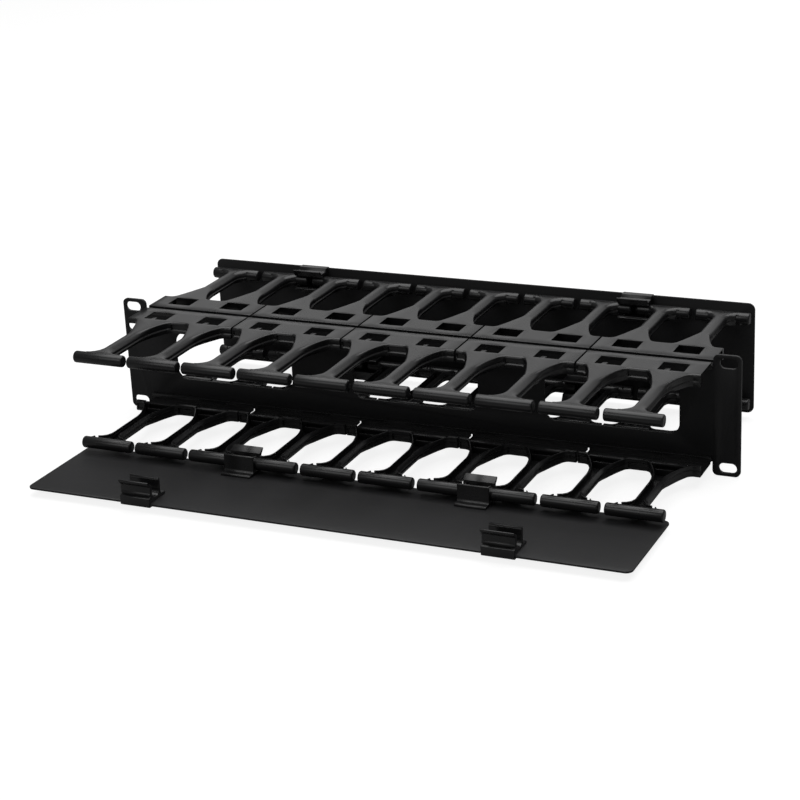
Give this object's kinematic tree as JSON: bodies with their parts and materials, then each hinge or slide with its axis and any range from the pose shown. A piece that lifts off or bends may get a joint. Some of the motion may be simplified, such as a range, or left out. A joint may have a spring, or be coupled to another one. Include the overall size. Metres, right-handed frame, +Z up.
{
  "type": "horizontal cable manager",
  "caption": "Double-sided horizontal rack cable manager with rows of moulded T-shaped fingers, pass-through openings and hinged clip-on covers, the front one open.",
  "frame": {"origin": "middle of the four outer mounting slots, on the ears' rear face, which lies on the rack's rails", "axes": "+X along the panel to the right as seen from the front, -Y out of the front of the rack, +Z up"},
  "size_m": [0.4826, 0.297, 0.0888],
  "materials": {
    "panel_steel": "satin black powder coat",
    "cover_steel": "satin black powder coat",
    "finger_plastic": "satin black moulded",
    "clip_plastic": "satin black moulded"
  },
  "bodies": {
    "frame": {"rack_panel": "panel_steel", "front_upper_fingers_1": "finger_plastic", "front_upper_fingers_2": "finger_plastic", "front_upper_fingers_3": "finger_plastic", "front_upper_fingers_4": "finger_plastic", "front_upper_fingers_5": "finger_plastic", "front_lower_fingers_1": "finger_plastic", "front_lower_fingers_2": "finger_plastic", "front_lower_fingers_3": "finger_plastic", "front_lower_fingers_4": "finger_plastic", "front_lower_fingers_5": "finger_plastic", "rear_upper_fingers_1": "finger_plastic", "rear_upper_fingers_2": "finger_plastic", "rear_upper_fingers_3": "finger_plastic", "rear_upper_fingers_4": "finger_plastic", "rear_upper_fingers_5": "finger_plastic", "rear_lower_fingers_1": "finger_plastic", "rear_lower_fingers_2": "finger_plastic", "rear_lower_fingers_3": "finger_plastic", "rear_lower_fingers_4": "finger_plastic", "rear_lower_fingers_5": "finger_plastic"},
    "front_cover_set": {"front_cover": "cover_steel", "front_hinge_clip_left": "clip_plastic", "front_hinge_clip_right": "clip_plastic", "front_latch_clip_left": "clip_plastic", "front_latch_clip_right": "clip_plastic"},
    "rear_cover_set": {"rear_cover": "cover_steel", "rear_hinge_clip_left": "clip_plastic", "rear_hinge_clip_right": "clip_plastic", "rear_latch_clip_left": "clip_plastic", "rear_latch_clip_right": "clip_plastic"}
  },
  "joints": [
    {"name": "front_cover_hinge", "type": "hinge", "parent": "frame", "child": "front_cover_set", "pos_m": [0, -0.1065, -0.0315], "axis": [-1, 0, 0], "range_deg": [0, 89.1]},
    {"name": "rear_cover_hinge", "type": "hinge", "parent": "frame", "child": "rear_cover_set", "pos_m": [0, 0.1045, -0.0315], "axis": [-1, 0, 0], "range_deg": [0, 89.1]}
  ]
}
